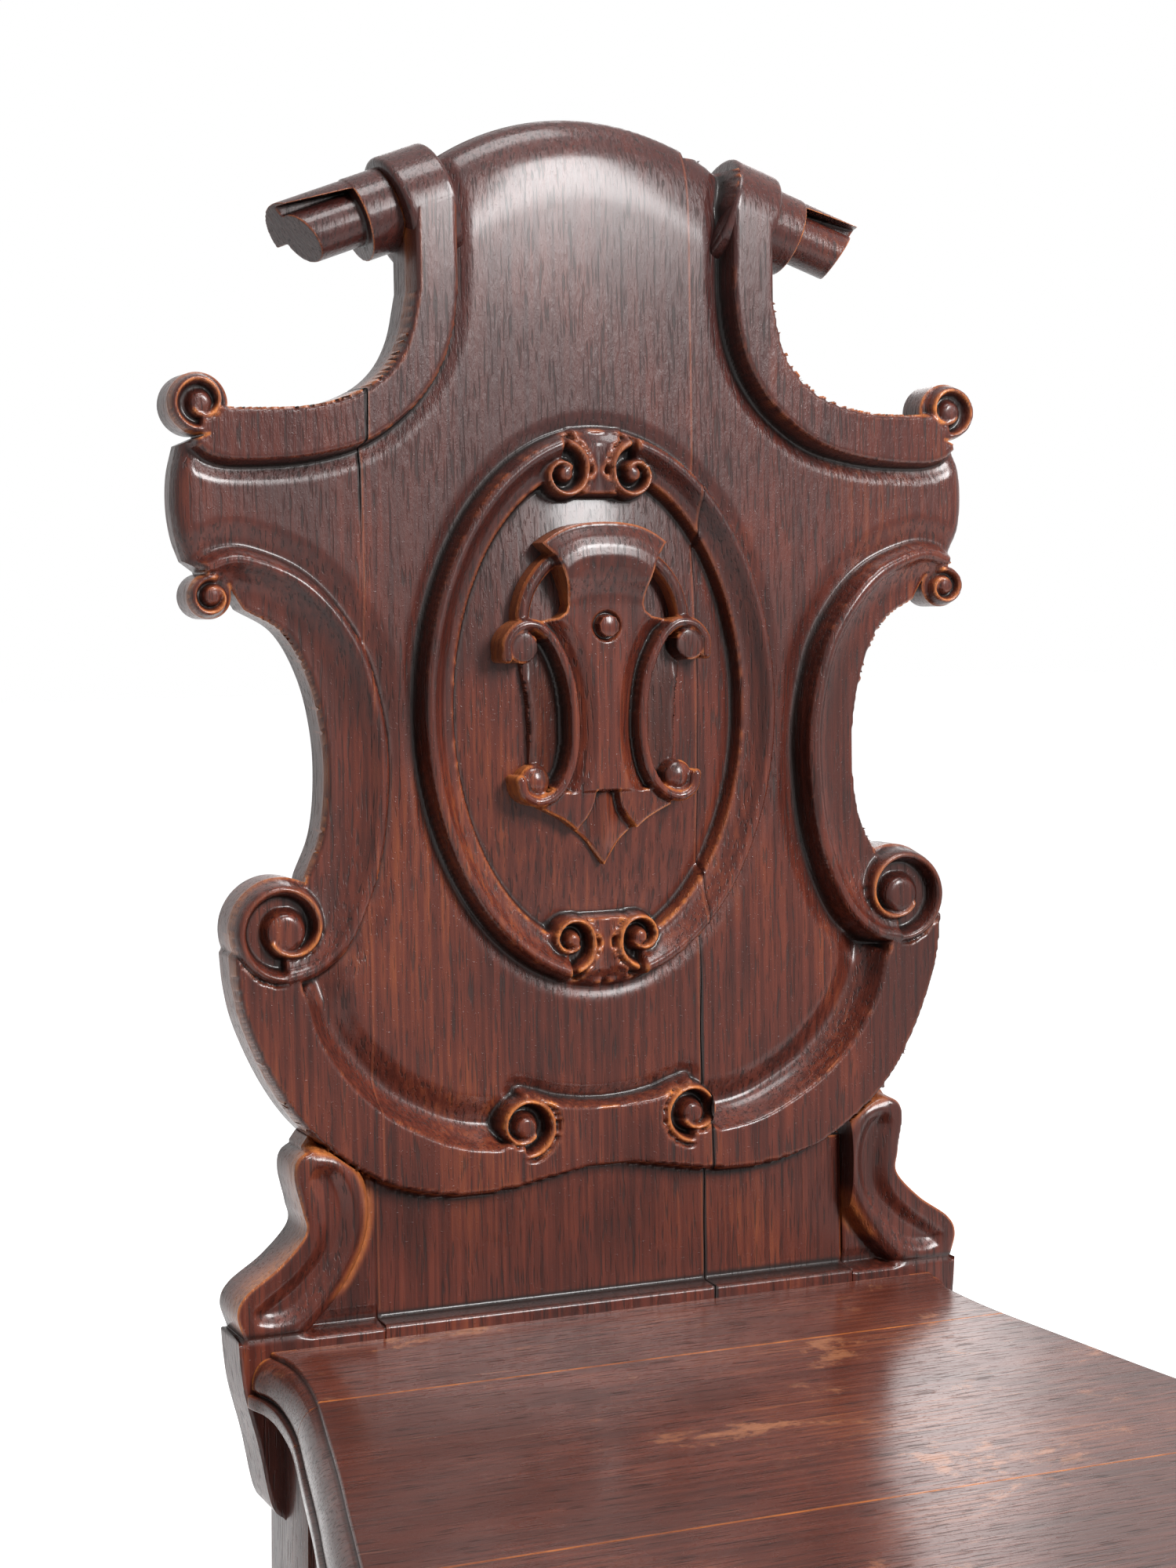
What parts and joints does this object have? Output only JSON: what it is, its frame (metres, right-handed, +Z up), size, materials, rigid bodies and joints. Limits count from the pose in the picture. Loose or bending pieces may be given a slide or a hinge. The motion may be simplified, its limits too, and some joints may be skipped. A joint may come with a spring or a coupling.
{
  "type": "hall chair",
  "caption": "Carved oak hall chair with a shaped solid seat, turned front legs, swept rear legs and a strapwork back.",
  "frame": {"origin": "middle of the floor rectangle that the whole chair covers, at floor level", "axes": "+Z up, -Y towards the sitter's front, +X to the right as seen from the front"},
  "size_m": [0.4084, 0.45, 0.9012],
  "materials": {
    "carved_oak": "dark polished, worn arrises",
    "seat_oak": "dark polished, scratched",
    "frame_oak": "dark polished",
    "unpolished_oak": "bare, darkened by age",
    "screw_steel": "dull"
  },
  "bodies": {
    "root": {"back_board_left": "carved_oak", "back_board_centre": "carved_oak", "back_board_right": "carved_oak", "bracket_left": "carved_oak", "bracket_right": "carved_oak", "horn_left": "carved_oak", "horn_right": "carved_oak", "cartouche": "carved_oak", "cartouche_peg": "carved_oak", "seat_board_rear": "seat_oak", "seat_board_middle": "seat_oak", "seat_board_front": "seat_oak", "front_leg_left": "frame_oak", "front_leg_right": "frame_oak", "rear_leg_left": "frame_oak", "rear_leg_right": "frame_oak", "front_rail": "frame_oak", "rear_rail": "frame_oak", "side_rail_left": "frame_oak", "side_rail_right": "frame_oak", "corner_block_front_left": "unpolished_oak", "corner_block_front_right": "unpolished_oak", "corner_block_rear_left": "unpolished_oak", "corner_block_rear_right": "unpolished_oak", "back_dowels": "unpolished_oak", "bracket_dowels": "unpolished_oak", "seat_dowels": "unpolished_oak", "rail_pegs": "unpolished_oak", "back_screws": "screw_steel", "block_screws": "screw_steel", "seat_screws": "screw_steel"}
  },
  "joints": []
}
